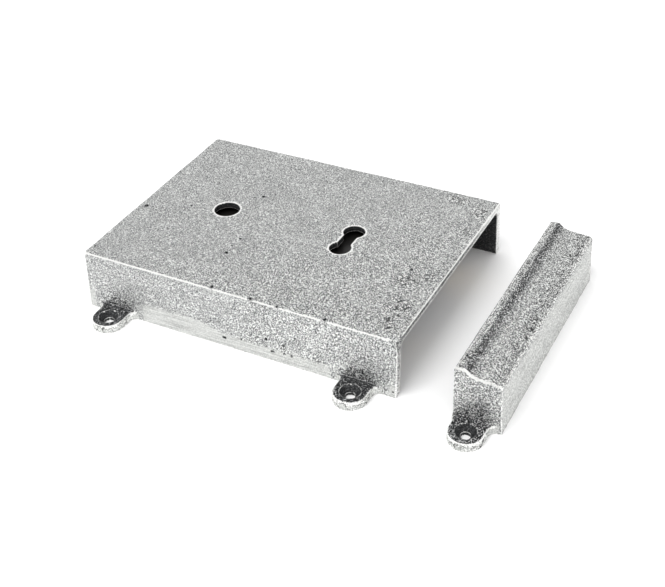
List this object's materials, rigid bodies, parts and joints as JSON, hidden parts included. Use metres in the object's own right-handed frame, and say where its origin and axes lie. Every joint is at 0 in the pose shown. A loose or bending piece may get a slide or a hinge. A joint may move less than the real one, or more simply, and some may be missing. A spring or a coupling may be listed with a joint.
{
  "type": "rim lock",
  "caption": "Cast-iron rim lock cover and keep with a two-lever rim lock inside: sprung bevelled latch on a square follower, dead bolt, countersunk screw ears.",
  "frame": {"origin": "middle of the box round the cover and the keep, on the face that lies on the door", "axes": "+X from the closed end of the cover to its mouth and the keep, +Y across the lock towards the latch, +Z away from the door"},
  "size_m": [0.224, 0.1678, 0.0312],
  "materials": {
    "patinated_iron": "as cast, grey patina, waxed",
    "black_case": "black japan on pressed steel",
    "bright_steel": "turned bright steel",
    "mild_steel": "stamped and tumbled steel",
    "spring_steel": "blued spring steel",
    "malleable_iron": "malleable iron, oiled",
    "brass": "machined brass"
  },
  "bodies": {
    "cover": {"cover": "patinated_iron"},
    "keep": {"keep": "patinated_iron"},
    "lock": {"lock_case": "black_case", "back_plate": "black_case", "back_plate_screws": "bright_steel", "case_pillars": "bright_steel", "forend": "black_case", "forend_rivets": "bright_steel", "latch_spring": "spring_steel", "spring_stop": "mild_steel", "latch_guide_stud": "bright_steel", "bolt_guide_stud": "bright_steel", "lever_pivot_stud": "bright_steel", "lever_spacers": "brass", "lever_stop_pin": "bright_steel", "key_ward": "mild_steel"},
    "latch": {"latch_bolt": "brass"},
    "follower": {"follower": "malleable_iron"},
    "dead_bolt": {"dead_bolt": "brass", "bolt_stump": "bright_steel"},
    "lever_1": {"lever_1": "mild_steel", "lever_1_spring": "spring_steel"},
    "lever_2": {"lever_2": "mild_steel", "lever_2_spring": "spring_steel"}
  },
  "joints": [
    {"name": "lock_slide", "type": "slide", "parent": "cover", "child": "lock", "axis": [1, 0, 0], "range_m": [0, 0.0153]},
    {"name": "keep_slide", "type": "slide", "parent": "cover", "child": "keep", "axis": [-0.9849, 0.1729, 0], "range_m": [0, 0.0266]},
    {"name": "follower_turn", "type": "hinge", "parent": "lock", "child": "follower", "pos_m": [-0.0815, 0.00125, 0.0125], "axis": [0, 0, 1], "range_deg": [0, 45]},
    {"name": "latch_draw", "type": "slide", "parent": "lock", "child": "latch", "axis": [-1, 0, 0], "range_m": [0, 0.01], "stiffness_N_per_m": 400, "springref_m": -0.01, "deforming": ["latch_spring"]},
    {"name": "bolt_throw", "type": "slide", "parent": "lock", "child": "dead_bolt", "axis": [1, 0, 0], "range_m": [0, 0.013]},
    {"name": "lever_1_lift", "type": "hinge", "parent": "lock", "child": "lever_1", "pos_m": [-0.059, -0.00675, 0.0117], "axis": [0, 0, -1], "range_deg": [0, 7], "deforming": ["lever_1_spring"]},
    {"name": "lever_2_lift", "type": "hinge", "parent": "lock", "child": "lever_2", "pos_m": [-0.059, -0.00675, 0.0144], "axis": [0, 0, -1], "range_deg": [0, 7], "deforming": ["lever_2_spring"]}
  ],
  "couplings": [
    {"joint": "follower_turn", "follows": "latch_draw", "rad_per_m": 78.532},
    {"joint": "lever_1_lift", "follows": "bolt_throw", "rad_per_m": 9.397},
    {"joint": "lever_2_lift", "follows": "bolt_throw", "rad_per_m": 9.397}
  ]
}
